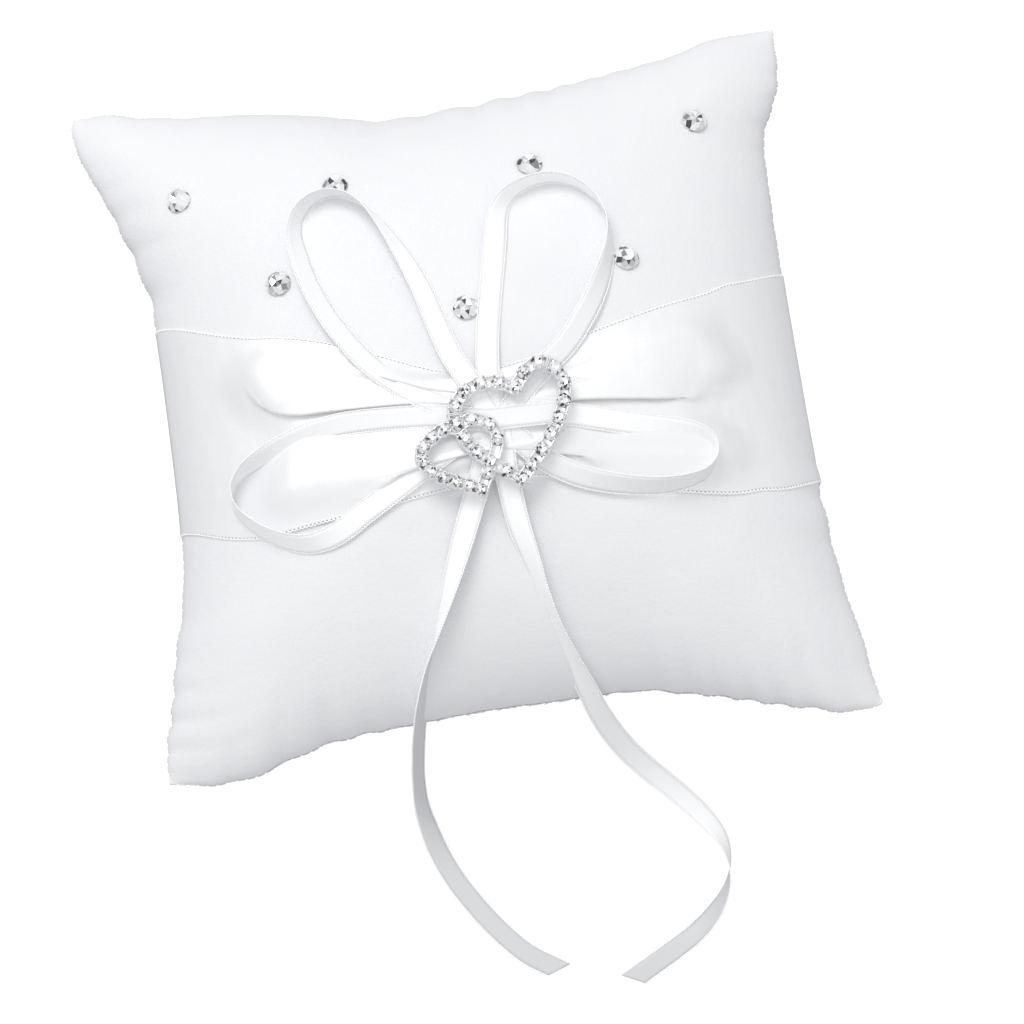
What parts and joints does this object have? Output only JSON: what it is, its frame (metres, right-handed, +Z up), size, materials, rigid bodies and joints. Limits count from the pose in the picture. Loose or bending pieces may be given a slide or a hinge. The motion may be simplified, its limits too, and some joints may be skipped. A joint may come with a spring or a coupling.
{
  "type": "ring bearer pillow",
  "caption": "Small stuffed square pillow with a gathered ribbon band, narrow ribbon loops, two tie tails, a double heart buckle and loose crystals.",
  "frame": {"origin": "on the surface that the pillow lies on, under the middle of the pillow", "axes": "+Z up through the crown, +Y towards the pillow's top edge, +X to the right seen from above"},
  "size_m": [0.2049, 0.2696, 0.0704],
  "materials": {
    "pillow_satin": "matte white satin",
    "wide_ribbon_satin": "glossy double-face satin",
    "narrow_ribbon_satin": "satin ribbon with picot edges",
    "thread": "polyester sewing thread",
    "fibre_filling": "soft polyester fibre",
    "silver_plate": "bright silver plate",
    "stone": "foil-backed faceted crystal",
    "clear_glue": "clear glue"
  },
  "bodies": {
    "root": {"front_panel": "pillow_satin", "back_panel": "pillow_satin", "stuffing": "fibre_filling", "seam_thread": "thread", "closing_stitches": "thread", "wide_ribbon": "wide_ribbon_satin", "gather_stitches": "thread", "upper_left_loop": "narrow_ribbon_satin", "upper_right_loop": "narrow_ribbon_satin", "lower_left_loop": "narrow_ribbon_satin", "lower_right_loop": "narrow_ribbon_satin", "left_tail": "narrow_ribbon_satin", "right_tail": "narrow_ribbon_satin", "loop_binding": "thread", "buckle_frame": "silver_plate", "large_heart_stones": "stone", "small_heart_stones": "stone", "buckle_stitches": "thread", "crystal_1": "stone", "crystal_2": "stone", "crystal_3": "stone", "crystal_4": "stone", "crystal_5": "stone", "crystal_6": "stone", "crystal_7": "stone", "crystal_glue": "clear_glue"}
  },
  "joints": []
}
